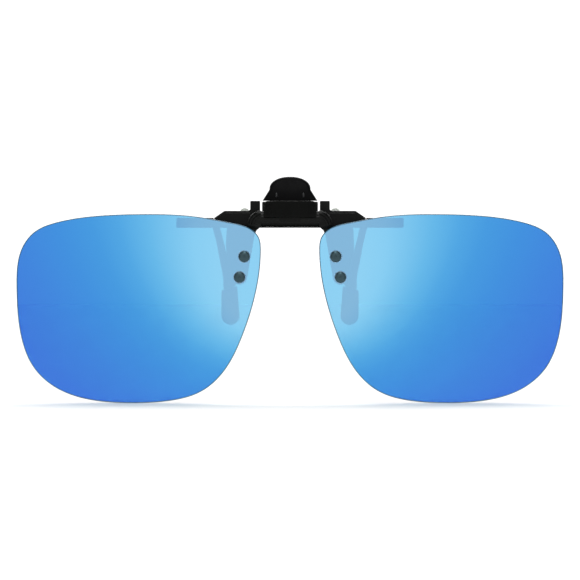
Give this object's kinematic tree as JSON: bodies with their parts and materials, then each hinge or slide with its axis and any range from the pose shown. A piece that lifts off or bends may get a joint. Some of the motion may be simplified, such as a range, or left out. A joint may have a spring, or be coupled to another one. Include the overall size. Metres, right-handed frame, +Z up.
{
  "type": "clip-on flip-up lenses",
  "caption": "Clip-on flip-up sunglass lenses: mirrored rounded-square lenses on a hinged bridge, with a sprung thumb clamp that grips the front of eyeglasses.",
  "frame": {"origin": "middle of the rear seat that rests on the front of the eyeglasses, level with the flip hinge", "axes": "+X to the right as seen from the front, +Y to the rear, towards the wearer, +Z up"},
  "size_m": [0.1402, 0.0154, 0.058],
  "materials": {
    "moulded_black": "satin moulded plastic",
    "soft_touch_black": "soft-touch matte",
    "rubber_black": "matte",
    "clear_silicone": "clear, slightly milky",
    "blue_mirror": "blue mirror coating on a grey polarised lens",
    "dark_steel": "dark plated",
    "bright_steel": "bright",
    "clear_nylon": "clear"
  },
  "bodies": {
    "clip": {"clip_body": "moulded_black", "hinge_cover": "moulded_black", "detent_leaf": "bright_steel", "hinge_pin": "bright_steel", "clamp_pin": "bright_steel", "torsion_spring": "bright_steel", "bar_sleeve_left": "rubber_black", "bar_sleeve_right": "rubber_black", "rim_pad_left": "clear_silicone", "rim_pad_right": "clear_silicone", "clamp_clip_left": "bright_steel", "clamp_clip_right": "bright_steel"},
    "flip": {"lens_bridge": "moulded_black", "lens_left": "blue_mirror", "lens_right": "blue_mirror", "rivet_upper_left": "dark_steel", "rivet_lower_left": "dark_steel", "rivet_upper_right": "dark_steel", "rivet_lower_right": "dark_steel", "washer_upper_left": "clear_nylon", "washer_lower_left": "clear_nylon", "washer_upper_right": "clear_nylon", "washer_lower_right": "clear_nylon", "nut_upper_left": "bright_steel", "nut_lower_left": "bright_steel", "nut_upper_right": "bright_steel", "nut_lower_right": "bright_steel"},
    "jaw": {"lever_jaw": "moulded_black", "thumb_cap": "soft_touch_black", "leg_sleeve_left": "rubber_black", "leg_sleeve_right": "rubber_black"}
  },
  "joints": [
    {"name": "flip_up", "type": "hinge", "parent": "clip", "child": "flip", "pos_m": [0, -0.0045, 0], "axis": [-1, 0, 0], "range_deg": [0, 95]},
    {"name": "clamp_open", "type": "hinge", "parent": "clip", "child": "jaw", "pos_m": [0, 0.003, 0.0026], "axis": [1, 0, 0], "range_deg": [0, 25], "stiffness_Nm_per_rad": 0.1, "springref_deg": -14.32, "deforming": ["torsion_spring"]}
  ]
}
